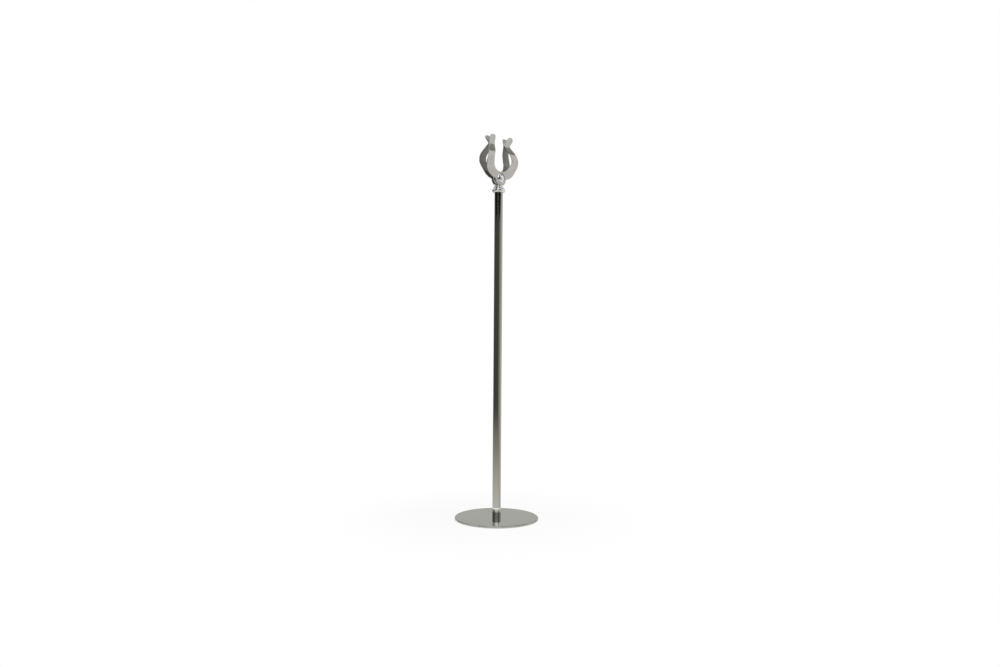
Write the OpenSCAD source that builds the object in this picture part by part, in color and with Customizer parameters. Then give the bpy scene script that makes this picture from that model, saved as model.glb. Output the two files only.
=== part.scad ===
// Table number stand: a round foot, a slim polished pole and a lyre shaped spring clip.
// Z is up, the origin is the centre of the underside of the foot, and a card held in the clip
// lies in the XZ plane. All sizes are in millimetres.

/* [Stand] */
// Overall height, from the table to the tips of the clip
total_h = 457; // [250:1:700]

/* [Base disc] */
// Diameter of the disc
base_d = 100; // [70:1:160]
// Thickness of the disc
base_t = 2.5; // [2.5:0.1:6]
// Rounding of the upper edge
base_top_r = 1.2; // [0.4:0.1:1.5]
// Rounding of the lower edge
base_low_r = 0.5; // [0.2:0.1:0.8]

/* [Pole] */
// Outer diameter of the tube
pole_d = 10; // [8:0.5:14]
// Wall of the tube
pole_wall = 1; // [0.6:0.1:1.5]
// Length of the threaded plug in each end
insert_l = 12; // [8:0.5:20]
// Chamfer round the outer faces of a plug
insert_chamfer = 0.4; // [0.1:0.1:0.8]

/* [Threads] */
// Nominal diameter of the base screw and of the stud under the ball
thread_d = 4; // [3:0.5:4.5]
// Radial play of a thread in its plug
thread_clear = 0.05; // [0.02:0.01:0.1]
// Radial play of a thread in a plain hole
hole_clear = 0.15; // [0.1:0.05:0.3]

/* [Base screw] */
// Diameter of the countersunk head
screw_head_d = 7.5; // [6.5:0.1:7.9]
// How far the head lies above the underside of the disc
screw_sink = 0.15; // [0.05:0.05:0.3]
// Length of the screw with its head
screw_l = 12; // [8:0.5:14]
// Diameter of the cross recess
recess_d = 4.2; // [3:0.1:5]
// Width of the wings of the cross recess
recess_w = 1; // [0.7:0.1:1.4]
// Depth of the cross recess
recess_depth = 1.6; // [1:0.1:2.2]

/* [Collar] */
// Height of the collar
collar_h = 9.3; // [9.2:0.1:10.2]
// Depth of the socket for the pole
socket_h = 4; // [2.5:0.1:5]
// Radial play of the pole in the socket
socket_clear = 0.05; // [0.02:0.01:0.15]
// Diameter of the rim, the lowest and widest ring
rim_d = 16.2; // [15.8:0.1:18]
// Roundness of the rim
rim_r = 2.4; // [2.2:0.1:2.6]
// Diameter of the middle ring
ring_d = 13.2; // [12.8:0.1:14]
// Roundness of the middle ring
ring_r = 1.5; // [1.4:0.1:1.7]
// Diameter of the bead at the top
bead_d = 10.8; // [10.4:0.1:11.2]
// Roundness of the bead
bead_r = 1.5; // [1.4:0.1:1.7]

/* [Ball] */
// Diameter of the ball
ball_d = 12.7; // [11.5:0.1:15]
// Diameter of the foot on which the ball stands
ball_foot_d = 4.9; // [4.7:0.1:5.5]
// Height of the foot below the ball
ball_foot_h = 0.55; // [0.3:0.05:2]
// Length of the stud, from the foot to its end
stud_l = 14; // [10:0.5:17]
// Chamfer of the ends of the stud and the base screw
thread_chamfer = 0.6; // [0.2:0.1:1]

/* [Clip sheet] */
// Thickness of the sheet
sheet_t = 1; // [0.6:0.1:1.2]
// Inner radius of the two bends of the web
web_bend_r = 0.4; // [0.3:0.1:1.5]
// Length of the web, along the card
web_l = 12; // [11:0.1:13]
// Rounding of the corners of the web
web_corner_r = 0.4; // [0.2:0.1:0.6]
// Play between the ball and its two windows
window_clear = 0.3; // [0.2:0.05:0.6]
// Metal left between the windows and the slot
bridge_h = 1.5; // [1:0.1:3]

/* [Clip side view] */
// Height of the neck, where the plates meet, above the widest part of the slot
neck_rise = 18.8; // [17:0.1:22]
// Height of the open mouth above the neck
mouth_h = 9.8; // [9:0.1:12]
// Gap between the plates at the neck
neck_gap = 0.3; // [0.1:0.05:1.5]
// Widest gap between the plates
bulge_gap = 13.8; // [12:0.1:16]
// Lean of the plates above the ball
spread_a = 21.5; // [16:0.5:26]
// Lean of the plates towards the neck
close_a = 33; // [28:1:36]
// Lean of the mouth above the neck
mouth_a = 30; // [15:1:35]
// Radius of the bend above the ball
hip_r = 14; // [8:0.5:20]
// Radius of the bend at the widest gap
bulge_r = 19; // [14:0.1:20]
// Radius of the bend at the neck
fold_r = 4; // [3:0.1:6]

/* [Clip front view] */
// Width of the round body
body_w = 50.6; // [46:0.1:54]
// Radius of the round body
body_r = 20; // [18:0.1:24]
// Width of each plate beside the ball
leg_w = 16; // [15.6:0.1:17]
// Radius where each plate widens above the web
leg_low_r = 0.5; // [0.3:0.1:1]
// Rounding of each plate below the ball
leg_r = 3.4; // [3:0.1:4]
// Straight edge of each plate beside the ball
leg_flat = 0.2; // [0.1:0.1:1]
// Radius where each plate meets its round body
foot_r = 2; // [1:0.1:4]
// Lean of the outer edge towards the neck
outer_a = 27.5; // [24:0.5:31]
// Lean of the outer edge above the neck
outer_mouth_a = 22; // [12:1:25]
// Width of each arm where the slot is widest
arm_w = 10.9; // [10.2:0.1:12.5]
// Flat at the bottom of the slot, on each side of the middle
slot_flat = 0.6; // [0.3:0.1:2.5]
// Width of each arm at the neck
neck_arm_w = 9.2; // [8.6:0.1:10.6]
// Lean of the inner edge above the neck
inner_mouth_a = 15; // [10:1:18]
// Radius of both edges at the neck
neck_r = 5; // [2:0.1:6]
// Rounding of the corners of the prongs
tip_r = 4; // [2:0.1:4.4]

/* [Hidden] */
$fn = 96;

// How far a cut runs past the face that it opens
past = 1;
// How far a turned arc laps into the straight outline beside it
lap = 0.2;
// A turned arc's cap reaches this share of its radius, in pieces of at most this angle
cap_reach = 1.5;
cap_angle = 60;
// The bends and edges of the sheet turn by at most this angle from one face to the next
sheet_step_a = 5;

thread_r = thread_d / 2;
plug_bore_r = thread_r + thread_clear;
plain_bore_r = thread_r + hole_clear;
pole_inner_r = pole_d / 2 - pole_wall;
screw_head_r = screw_head_d / 2;

// The foot of the ball fills the flat of the web between its bends
web_inner = ball_foot_d / 2 + web_bend_r;
plate_y = web_inner + sheet_t / 2;
ball_r = ball_d / 2;
ball_h = sheet_t + ball_foot_h + ball_r;
window_r = sqrt(ball_r ^ 2 - web_inner ^ 2) + window_clear;
slot_h = ball_h + window_r + bridge_h;
slot_r = body_w / 2 - arm_w - slot_flat;
neck_h = slot_h + slot_r + neck_rise;
clip_h = neck_h + mouth_h;

clip_z = total_h - clip_h;
collar_z = clip_z - collar_h;
pole_top = collar_z + socket_h;
pole_l = pole_top - base_t;

// Outlines: a pose is [x, y, heading], and a step is [length, 0] for a straight
// or [radius, turn] for an arc, with a turn to the left above zero. The metal lies on the left.
function next_pose(q, s) =
    s[1] == 0
    ? [q[0] + s[0] * cos(q[2]), q[1] + s[0] * sin(q[2]), q[2]]
    : let (side = sign(s[1]), h = q[2] + s[1])
      [
          q[0] + side * s[0] * (sin(h) - sin(q[2])),
          q[1] - side * s[0] * (cos(h) - cos(q[2])),
          h
      ];

function poses(start, steps) = [
    for (i = 0, q = start; i <= len(steps); q = next_pose(q, steps[min(i, len(steps) - 1)]), i = i + 1) q
];

// The same steps as they run on a line this far to the right
function beside(steps, d) = [
    for (s = steps) s[1] == 0 ? s : [s[0] + sign(s[1]) * d, s[1]]
];

// The same steps walked from their end to their start
function backwards(steps) = [
    for (i = [len(steps) - 1:-1:0]) [steps[i][0], -steps[i][1]]
];

// Points along the steps, for the outlines of the sheet
function trace(start, steps) =
    let (q = poses(start, steps))
    [
        for (i = [0:len(steps) - 1])
            let (
                r = steps[i][0],
                turn = steps[i][1],
                n = r == 0 ? 1 : max(1, ceil(abs(turn) / sheet_step_a))
            )
                for (k = [0:n - 1])
                    let (p = k == 0 ? q[i] : next_pose(q[i], [r, turn * k / n])) [p[0], p[1]]
    ];

// The field between an arc and its chord, with a lap on the inner side of the chord
module arc_cap(q, s) {
    r = s[0];
    turn = s[1];
    side = sign(turn);
    n = ceil(abs(turn) / cap_angle);
    inner = r - min(lap, r / 2);
    translate([q[0] - side * r * sin(q[2]), q[1] + side * r * cos(q[2])])
        rotate(q[2] - side * 90)
            intersection() {
                circle(r);
                polygon(concat(
                    [[inner, 0]],
                    [for (i = [0:n]) cap_reach * r * [cos(i * turn / n), sin(i * turn / n)]],
                    [inner * [cos(turn), sin(turn)]]
                ));
            }
}

// The closed outline of a turned piece, with straights and true arcs
module turned_outline(start, steps) {
    q = poses(start, steps);
    difference() {
        union() {
            polygon([for (p = q) [p[0], p[1]]]);
            for (i = [0:len(steps) - 1])
                if (steps[i][1] > 0 && steps[i][0] > 0) arc_cap(q[i], steps[i]);
        }
        for (i = [0:len(steps) - 1])
            if (steps[i][1] < 0 && steps[i][0] > 0) arc_cap(q[i], steps[i]);
    }
}

// A closed outline that is the same on both sides of the vertical axis, from its right half
module even_outline(half) {
    n = len(half);
    polygon(concat(half, [for (i = [n - 1:-1:0]) if (half[i][0] > 0) [-half[i][0], half[i][1]]]));
}

// The countersink has the cone of the screw's head, so the head seats on all of it
module base_disc() {
    cone_low_r = screw_head_r + screw_sink;
    color("#a9aaa6")
        rotate_extrude()
            turned_outline([cone_low_r, 0, 0], [
                [base_d / 2 - base_low_r - cone_low_r, 0],
                [base_low_r, 90],
                [base_t - base_low_r - base_top_r, 0],
                [base_top_r, 90],
                [base_d / 2 - base_top_r - plain_bore_r, 0],
                [0, 90],
                [base_t - (cone_low_r - plain_bore_r), 0]
            ]);
}

module thread_shank(l, end_up) {
    body_l = l - thread_chamfer;
    tip_r2 = thread_r - thread_chamfer;
    if (end_up) {
        cylinder(h = body_l, r = thread_r);
        translate([0, 0, body_l]) cylinder(h = thread_chamfer, r1 = thread_r, r2 = tip_r2);
    } else {
        translate([0, 0, thread_chamfer]) cylinder(h = body_l, r = thread_r);
        cylinder(h = thread_chamfer, r1 = tip_r2, r2 = thread_r);
    }
}

// The wings narrow towards the bottom of the recess, as a punched cross does
module cross_recess() {
    bottom_r = recess_d / 2 - recess_depth * 0.7;
    intersection() {
        for (a = [0, 90])
            rotate(a)
                translate([-recess_d / 2, -recess_w / 2, -past])
                    cube([recess_d, recess_w, past + recess_depth]);
        union() {
            translate([0, 0, -past]) cylinder(h = past, d = recess_d);
            cylinder(h = recess_depth, r1 = recess_d / 2, r2 = bottom_r);
        }
    }
}

module base_screw() {
    color("#8f918f")
        translate([0, 0, screw_sink])
            difference() {
                union() {
                    cylinder(h = screw_head_r - thread_r, r1 = screw_head_r, r2 = thread_r);
                    thread_shank(screw_l, true);
                }
                cross_recess();
            }
}

module threaded_plug() {
    edge_r = pole_inner_r - insert_chamfer;
    difference() {
        union() {
            cylinder(h = insert_chamfer, r1 = edge_r, r2 = pole_inner_r);
            translate([0, 0, insert_chamfer])
                cylinder(h = insert_l - 2 * insert_chamfer, r = pole_inner_r);
            translate([0, 0, insert_l - insert_chamfer])
                cylinder(h = insert_chamfer, r1 = pole_inner_r, r2 = edge_r);
        }
        translate([0, 0, -past]) cylinder(h = insert_l + 2 * past, r = plug_bore_r);
    }
}

module lower_insert() {
    color("#b9a878") translate([0, 0, base_t]) threaded_plug();
}

module upper_insert() {
    color("#b9a878") translate([0, 0, pole_top - insert_l]) threaded_plug();
}

module pole() {
    color("#8d8c86")
        translate([0, 0, base_t])
            difference() {
                cylinder(h = pole_l, d = pole_d);
                translate([0, 0, -past]) cylinder(h = pole_l + 2 * past, r = pole_inner_r);
            }
}

// Half section of a ring with a round edge, with its underside at this height, and of the core below
module ring_section(d, r, z) {
    square([d / 2 - r, z + 2 * r]);
    translate([d / 2 - r, z + r]) circle(r);
}

// A turned collar: three rounded rings, each smaller than the one below, with a nick between them
module collar() {
    bead_z = collar_h - 2 * bead_r;
    ring_z = (rim_r + bead_z + bead_r) / 2 - ring_r;
    color("#d9dbdc")
        translate([0, 0, collar_z])
            rotate_extrude()
                difference() {
                    union() {
                        ring_section(rim_d, rim_r, 0);
                        ring_section(ring_d, ring_r, ring_z);
                        ring_section(bead_d, bead_r, bead_z);
                    }
                    translate([0, -past]) square([pole_d / 2 + socket_clear, past + socket_h]);
                    square([plain_bore_r, collar_h + past]);
                }
}

// Side view of the bent sheet, in Y and Z above the underside of the web
module clip_side() {
    bend_r = web_bend_r + sheet_t / 2;
    bulge_y = (bulge_gap + sheet_t) / 2;
    neck_y = (neck_gap + sheet_t) / 2;
    spread_l = (bulge_y - plate_y - (hip_r + bulge_r) * (1 - cos(spread_a))) / sin(spread_a);
    close_l = (bulge_y - neck_y - (bulge_r + fold_r) * (1 - cos(close_a))) / sin(close_a);
    above_leg = hip_r * sin(spread_a) + spread_l * cos(spread_a)
        + bulge_r * (sin(spread_a) + sin(close_a))
        + close_l * cos(close_a) + fold_r * sin(close_a);
    leg_l = neck_h - sheet_t / 2 - bend_r - above_leg;
    mouth_l = (clip_h + past - neck_h - fold_r * sin(mouth_a)) / cos(mouth_a);
    middle = [
        [ball_foot_d / 2, 0],
        [bend_r, 90],
        [leg_l, 0],
        [hip_r, -spread_a],
        [spread_l, 0],
        [bulge_r, spread_a + close_a],
        [close_l, 0],
        [fold_r, -(close_a + mouth_a)],
        [mouth_l, 0]
    ];
    even_outline(concat(
        trace([0, 0, 0], concat(
            beside(middle, sheet_t / 2),
            [[0, 90], [sheet_t, 0], [0, 90]],
            backwards(beside(middle, -sheet_t / 2))
        )),
        [[0, sheet_t]]
    ));
}

// Front view of the two plates, in X and Z above the underside of the web
module clip_front() {
    leg_a = acos(1 - (leg_w - web_l) / 2 / (leg_low_r + leg_r));
    foot_a = acos(1 - (body_w - leg_w) / 2 / (foot_r + body_r));
    wide_h = sheet_t + web_bend_r + (leg_low_r + leg_r) * sin(leg_a) + leg_flat
        + (foot_r + body_r) * sin(foot_a);
    outer_l = (neck_h - wide_h - (body_r + neck_r) * sin(outer_a)) / cos(outer_a);
    outer_mouth_l = (clip_h - neck_h - neck_r * sin(outer_mouth_a) - tip_r * (1 + sin(outer_mouth_a)))
        / cos(outer_mouth_a);
    // The inner edge touches the arc of the slot and the arc of the neck
    neck_x = body_w / 2 - (body_r + neck_r) * (1 - cos(outer_a)) - outer_l * sin(outer_a) - neck_arm_w;
    arcs_x = neck_x + neck_r - slot_flat;
    arcs_d = sqrt(arcs_x ^ 2 + neck_rise ^ 2);
    inner_a = asin((slot_r + neck_r) / arcs_d) - atan(arcs_x / neck_rise);
    inner_l = sqrt(arcs_d ^ 2 - (slot_r + neck_r) ^ 2);
    inner_mouth_l = (clip_h - neck_h - neck_r * sin(inner_mouth_a) - tip_r * (1 - sin(inner_mouth_a)))
        / cos(inner_mouth_a);
    tip_w = neck_arm_w + neck_r * (cos(inner_mouth_a) - cos(outer_mouth_a))
        + outer_mouth_l * sin(outer_mouth_a) - inner_mouth_l * sin(inner_mouth_a)
        - tip_r * (cos(outer_mouth_a) + cos(inner_mouth_a));
    even_outline(concat(
        trace([0, 0, 0], [
            [web_l / 2 - web_corner_r, 0],
            [web_corner_r, 90],
            [sheet_t + web_bend_r - web_corner_r, 0],
            [leg_low_r, -leg_a],
            [leg_r, leg_a],
            [leg_flat, 0],
            [foot_r, -foot_a],
            [body_r, foot_a + outer_a],
            [outer_l, 0],
            [neck_r, -(outer_a + outer_mouth_a)],
            [outer_mouth_l, 0],
            [tip_r, 90 + outer_mouth_a],
            [tip_w, 0],
            [tip_r, 90 - inner_mouth_a],
            [inner_mouth_l, 0],
            [neck_r, inner_a + inner_mouth_a],
            [inner_l, 0],
            [slot_r, -(90 + inner_a)],
            [slot_flat, 0]
        ]),
        [[0, slot_h]]
    ));
}

// One folded blank: the bent sheet along X, trimmed to the front view along Y
module clip() {
    side_l = body_w + 2 * past;
    front_l = bulge_gap + 2 * sheet_t + 2 * past;
    color("#b4b1ae")
        translate([0, 0, clip_z])
            difference() {
                intersection() {
                    rotate([90, 0, 90])
                        translate([0, 0, -side_l / 2]) linear_extrude(side_l) clip_side();
                    rotate([90, 0, 0])
                        translate([0, 0, -front_l / 2]) linear_extrude(front_l) clip_front();
                }
                translate([0, 0, -past]) cylinder(h = sheet_t + 2 * past, r = plain_bore_r);
                translate([0, front_l / 2, ball_h]) rotate([90, 0, 0]) cylinder(h = front_l, r = window_r);
            }
}

// The ball, its foot and its stud are turned in one piece
module ball_screw() {
    foot_z = clip_z + sheet_t;
    color("#c9cccd") {
        translate([0, 0, clip_z + ball_h]) sphere(r = ball_r);
        translate([0, 0, foot_z]) cylinder(h = ball_foot_h + ball_r, d = ball_foot_d);
        translate([0, 0, foot_z - stud_l]) thread_shank(stud_l, false);
    }
}

base_disc();
base_screw();
lower_insert();
pole();
upper_insert();
collar();
clip();
ball_screw();
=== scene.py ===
"""Table number stand: the smooth pieces, the metals, the studio and the camera."""
import math

import bpy
import numpy as np
from bpy.props import FloatProperty, FloatVectorProperty, PointerProperty
from mathutils import Matrix, Vector
from mathutils.geometry import delaunay_2d_cdt


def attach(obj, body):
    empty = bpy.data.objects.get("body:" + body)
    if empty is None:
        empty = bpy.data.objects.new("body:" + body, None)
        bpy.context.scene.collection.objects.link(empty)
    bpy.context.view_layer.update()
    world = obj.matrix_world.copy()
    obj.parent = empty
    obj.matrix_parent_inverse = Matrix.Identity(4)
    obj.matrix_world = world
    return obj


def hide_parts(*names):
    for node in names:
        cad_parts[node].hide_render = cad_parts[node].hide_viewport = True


bl_info = {
    "name": "Table number stand",
    "version": (1, 0, 0),
    "blender": (4, 5, 0),
    "location": "3D View > Sidebar > Number stand",
    "description": "Builds a polished table number stand with a lyre shaped spring clip",
    "category": "Object",
}

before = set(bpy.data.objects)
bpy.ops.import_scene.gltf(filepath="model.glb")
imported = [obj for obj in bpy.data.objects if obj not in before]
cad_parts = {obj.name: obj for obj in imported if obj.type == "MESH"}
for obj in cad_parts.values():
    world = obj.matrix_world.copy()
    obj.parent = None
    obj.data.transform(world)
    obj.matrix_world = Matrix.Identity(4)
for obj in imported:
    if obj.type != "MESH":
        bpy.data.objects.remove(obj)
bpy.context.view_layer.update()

# How finely the smooth forms are split: round pieces, arcs, and the clip's sheet, bends and holes
ROUND_SEGMENTS = 224
ARC_STEP = math.radians(3)
SHEET_STEP = 0.0011
BEND_STEP = math.radians(2.5)
RIM_STEP = 0.0005
RIM_CLEAR = 0.0006
HOLE_POINTS = 96
# Below these a length is none, two points are one, and a point lies on the axis
TINY = 1e-9
SAME_SPOT = 1e-8
ON_AXIS = 1e-7


def srgb(text):
    """A colour written as sRGB hex, as the linear values that a shader takes."""
    parts = [int(text[i:i + 2], 16) / 255 for i in (1, 3, 5)]
    return [p / 12.92 if p <= 0.04045 else ((p + 0.055) / 1.055) ** 2.4 for p in parts]


def length(name, value, about):
    return FloatProperty(name=name, description=about, default=value, min=0, unit="LENGTH", precision=4)


def angle(name, degrees, about):
    return FloatProperty(name=name, description=about, default=math.radians(degrees), subtype="ANGLE")


def colour(name, text, about):
    return FloatVectorProperty(
        name=name, description=about, default=srgb(text), subtype="COLOR", size=3, min=0, max=1
    )


class StandSizes(bpy.types.PropertyGroup):
    total_h: length("Overall height", 0.457, "From the table to the tips of the clip")
    edge_r: length("Edge rounding", 0.00015, "Broken edge of the pieces that are sharp in a drawing")
    # A hair under 100 mm, to stay inside the box of the faceted solid
    base_d: length("Foot diameter", 0.09999, "Diameter of the round foot")
    base_t: length("Foot thickness", 0.0025, "Thickness of the round foot")
    base_top_r: length("Upper edge", 0.0012, "Rounding of the foot's upper edge")
    base_low_r: length("Lower edge", 0.0005, "Rounding of the foot's lower edge")
    screw_head_r: length("Screw head", 0.00375, "Radius of the head in the countersink")
    screw_sink: length("Screw sink", 0.00015, "Depth of the head above the underside")
    bore_r: length("Plain bore", 0.00215, "Radius of the holes for the screw and the stud")
    pole_d: length("Pole diameter", 0.01, "Outer diameter of the tube")
    pole_wall: length("Pole wall", 0.001, "Wall of the tube")


class CollarSizes(bpy.types.PropertyGroup):
    height: length("Height", 0.0093, "Height of the collar")
    socket_h: length("Socket", 0.004, "Depth of the socket for the pole")
    socket_clear: length("Socket play", 0.00005, "Radial play of the pole in the socket")
    rim_d: length("Rim diameter", 0.0162, "Diameter of the lowest and widest ring")
    rim_r: length("Rim roundness", 0.0024, "Roundness of the rim")
    ring_d: length("Middle ring", 0.0132, "Diameter of the middle ring")
    ring_r: length("Middle roundness", 0.0015, "Roundness of the middle ring")
    bead_d: length("Bead", 0.0108, "Diameter of the bead at the top")
    bead_r: length("Bead roundness", 0.0015, "Roundness of the bead")


class BallSizes(bpy.types.PropertyGroup):
    diameter: length("Ball", 0.0127, "Diameter of the ball")
    foot_d: length("Foot diameter", 0.0049, "Diameter of the foot under the ball")
    foot_h: length("Foot height", 0.00055, "Height of the foot under the ball")
    stud_l: length("Stud", 0.014, "Length of the stud")
    stud_r: length("Stud radius", 0.002, "Radius of the stud")
    chamfer: length("Chamfer", 0.0006, "Chamfer of the stud's end")


class ClipSizes(bpy.types.PropertyGroup):
    sheet_t: length("Sheet", 0.001, "Thickness of the sheet")
    bend_r: length("Web bend", 0.0004, "Inner radius of the bends of the web")
    web_l: length("Web length", 0.012, "Length of the web, along the card")
    window_clear: length("Window play", 0.0003, "Play between the ball and its windows")
    bridge_h: length("Bridge", 0.0015, "Metal between a window and the slot")
    neck_rise: length("Neck rise", 0.0188, "From the widest part of the slot to the neck")
    mouth_h: length("Mouth", 0.0098, "Height of the mouth above the neck")
    neck_gap: length("Neck gap", 0.0003, "Gap between the plates at the neck")
    bulge_gap: length("Bulge gap", 0.0138, "Widest gap between the plates")
    spread_a: angle("Spread", 21.5, "Lean of the plates above the ball")
    close_a: angle("Close", 33, "Lean of the plates towards the neck")
    mouth_a: angle("Mouth lean", 30, "Lean of the mouth")
    hip_r: length("Hip", 0.014, "Radius of the bend above the ball")
    bulge_r: length("Bulge", 0.019, "Radius of the bend at the widest gap")
    fold_r: length("Fold", 0.004, "Radius of the bend at the neck")
    body_w: length("Body width", 0.0506, "Width of the round body")
    body_r: length("Body radius", 0.02, "Radius of the round body")
    leg_w: length("Leg width", 0.016, "Width of each plate beside the ball")
    leg_low_r: length("Leg foot", 0.0005, "Radius where each plate widens above the web")
    leg_r: length("Leg rounding", 0.0034, "Rounding of each plate below the ball")
    leg_flat: length("Leg edge", 0.0002, "Straight edge of each plate beside the ball")
    foot_r: length("Hip radius", 0.002, "Radius where each plate meets its round body")
    outer_a: angle("Outer lean", 27.5, "Lean of the outer edge towards the neck")
    outer_mouth_a: angle("Outer flare", 22, "Lean of the outer edge above the neck")
    arm_w: length("Arm width", 0.0109, "Width of an arm where the slot is widest")
    slot_flat: length("Slot flat", 0.0006, "Half the flat at the bottom of the slot")
    neck_arm_w: length("Neck width", 0.0092, "Width of an arm at the neck")
    inner_mouth_a: angle("Inner flare", 15, "Lean of the inner edge above the neck")
    neck_r: length("Neck radius", 0.005, "Radius of both edges at the neck")
    tip_r: length("Tip radius", 0.004, "Rounding of the corners of the prongs")


class Finishes(bpy.types.PropertyGroup):
    steel: colour("Polished steel", "#b8b8b3", "Mirror polished stainless steel of the foot and pole")
    spring: colour("Spring steel", "#d2d1ce", "Buffed stainless sheet of the clip")
    # The rolled and rubbed colours are one dull sheet: darkened as painted shade between the plates,
    # lightened as painted light inside the mouths
    rolled_painted_shade: colour("Rolled steel", "#989895", "Dull stainless sheet between the plates of the clip")
    mouth_painted_light: colour("Rubbed steel", "#dbdbd8", "Satin stainless sheet inside the mouths of the clip")
    chrome: colour("Chrome", "#f2f3f4", "Bright chrome of the ball and collar")
    brass: colour("Brass", "#d9c07c", "Turned brass of the threaded plugs")
    zinc: colour("Zinc", "#cdd2d6", "Zinc plating of the base screw")
    floor: colour("Floor", "#fbfbfb", "Pale paper under the stand")


def settings():
    return bpy.context.scene.number_stand


def levels(s):
    """Heights of the pieces above the table, from the same sums as the part's source."""
    ball_r = s.ball.diameter / 2
    inner = s.ball.foot_d / 2 + s.clip.bend_r
    ball_h = s.clip.sheet_t + s.ball.foot_h + ball_r
    window_r = math.sqrt(ball_r ** 2 - inner ** 2) + s.clip.window_clear
    slot_r = s.clip.body_w / 2 - s.clip.arm_w - s.clip.slot_flat
    neck_h = ball_h + window_r + s.clip.bridge_h + slot_r + s.clip.neck_rise
    clip_z = s.sizes.total_h - (neck_h + s.clip.mouth_h)
    collar_z = clip_z - s.collar.height
    return {
        "ball_h": ball_h, "window_r": window_r, "slot_r": slot_r, "neck_h": neck_h,
        "clip_z": clip_z, "collar_z": collar_z, "pole_top": collar_z + s.collar.socket_h,
    }


# Outlines. A pose is (x, y, heading) and a step is (length, 0) for a straight or (radius, turn)
# for an arc that turns to the left above zero. The metal lies on the left of the path.
def next_pose(pose, step):
    x, y, h = pose
    if step[1] == 0:
        return x + step[0] * math.cos(h), y + step[0] * math.sin(h), h
    side = math.copysign(1, step[1])
    end = h + step[1]
    return (
        x + side * step[0] * (math.sin(end) - math.sin(h)),
        y - side * step[0] * (math.cos(end) - math.cos(h)),
        end,
    )


def step_length(step):
    return step[0] if step[1] == 0 else step[0] * abs(step[1])


def part_of(step, share):
    return (step[0] * share, 0) if step[1] == 0 else (step[0], step[1] * share)


def walk(pose, steps, arc_step, straight_step):
    """Poses along the steps, close enough together for both limits."""
    found = [pose]
    for step in steps:
        if step_length(step) < TINY:
            # A sharp corner keeps a pose on each side, so that the shading breaks there
            pose = next_pose(pose, step)
            found += [pose] if step[1] else []
            continue
        pieces = step_length(step) / straight_step
        if step[1]:
            pieces = max(pieces, abs(step[1]) / arc_step)
        pieces = max(1, math.ceil(pieces))
        found += [next_pose(pose, part_of(step, k / pieces)) for k in range(1, pieces + 1)]
        pose = next_pose(pose, step)
    return found


def place(pose, steps, along):
    """The pose at a length along the steps."""
    for step in steps:
        full = step_length(step)
        if along <= full:
            return next_pose(pose, part_of(step, along / full)) if full else pose
        pose = next_pose(pose, step)
        along -= full
    return next_pose(pose, (along, 0))


def mesh_object(name, points, normals, faces, finishes=None):
    """A piece with smooth shading that follows the true surface at each point."""
    mesh = bpy.data.meshes.new(name)
    mesh.from_pydata([tuple(p) for p in points], [], faces)
    if finishes:
        mesh.polygons.foreach_set("material_index", finishes)
    mesh.validate()
    mesh.shade_smooth()
    mesh.normals_split_custom_set_from_vertices([tuple(n) for n in normals])
    piece = bpy.data.objects.new(name, mesh)
    bpy.context.scene.collection.objects.link(piece)
    return piece


def turned(name, outline, closed):
    """A turned piece from poses of its outline, walked with the metal on the left."""
    points, normals, faces, rings = [], [], [], []
    for x, z, h in outline:
        rings.append(len(points))
        if x < ON_AXIS:
            points.append((0, 0, z))
            normals.append((0, 0, -math.cos(h)))
            continue
        for k in range(ROUND_SEGMENTS):
            a = 2 * math.pi * k / ROUND_SEGMENTS
            points.append((x * math.cos(a), x * math.sin(a), z))
            normals.append((math.sin(h) * math.cos(a), math.sin(h) * math.sin(a), -math.cos(h)))
    whole = len(outline) if closed else len(outline) - 1
    for i in range(whole):
        j = (i + 1) % len(outline)
        if math.dist(outline[i][:2], outline[j][:2]) < TINY:
            continue
        low_tip, high_tip = outline[i][0] < ON_AXIS, outline[j][0] < ON_AXIS
        for k in range(ROUND_SEGMENTS):
            m = (k + 1) % ROUND_SEGMENTS
            ring = [
                rings[i] + (0 if low_tip else k), rings[i] + (0 if low_tip else m),
                rings[j] + (0 if high_tip else m), rings[j] + (0 if high_tip else k),
            ]
            faces.append([v for n, v in enumerate(ring) if v not in ring[:n]])
    return mesh_object(name, points, normals, faces)


def soft_corner(steps, r):
    """Corners between straights, written as (0, turn), become small arcs cut out of both."""
    out = [list(step) for step in steps]
    for i, step in enumerate(steps):
        beside = ((i - 1) % len(steps), (i + 1) % len(steps))
        if step[0] == 0 and step[1] and all(steps[j][1] == 0 for j in beside):
            for j in beside:
                out[j][0] -= r * math.tan(abs(step[1]) / 2)
            out[i] = [r, step[1]]
    return [tuple(step) for step in out]


def finish_piece(piece, node, slot, *materials):
    """Give a piece its metals, say what it rides on, and hide the solid that it stands for."""
    for material in materials:
        piece.data.materials.append(material)
    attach(piece, "root")
    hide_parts(node)


# Materials. Nearly all of a noise's values lie between these two.
NOISE_LOW, NOISE_HIGH = 0.3, 0.7
# Height up to which the pole's colour holds painted reflections of the foot
PAINTED_REFLECTIONS_H = 0.014


def add_node(tree, kind, inputs=None, stops=None, **options):
    """A node with its settings. Inputs are linked sockets, hex colours or plain values."""
    node = tree.nodes.new(kind)
    for key, value in options.items():
        setattr(node, key, value)
    for socket, value in (inputs or {}).items():
        if isinstance(value, bpy.types.NodeSocket):
            tree.links.new(value, node.inputs[socket])
        else:
            node.inputs[socket].default_value = (*srgb(value), 1) if isinstance(value, str) else value
    for k, (at, text) in enumerate(stops or ()):
        marks = node.color_ramp.elements
        mark = marks[k] if k < len(marks) else marks.new(at)
        mark.position = at
        mark.color = (*srgb(text), 1)
    return node


def spot_parts(tree):
    """X, Y and Z of a spot, measured from the piece's own origin."""
    where = add_node(tree, "ShaderNodeTexCoord")
    return add_node(tree, "ShaderNodeSeparateXYZ", {"Vector": where.outputs["Object"]}).outputs


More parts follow.
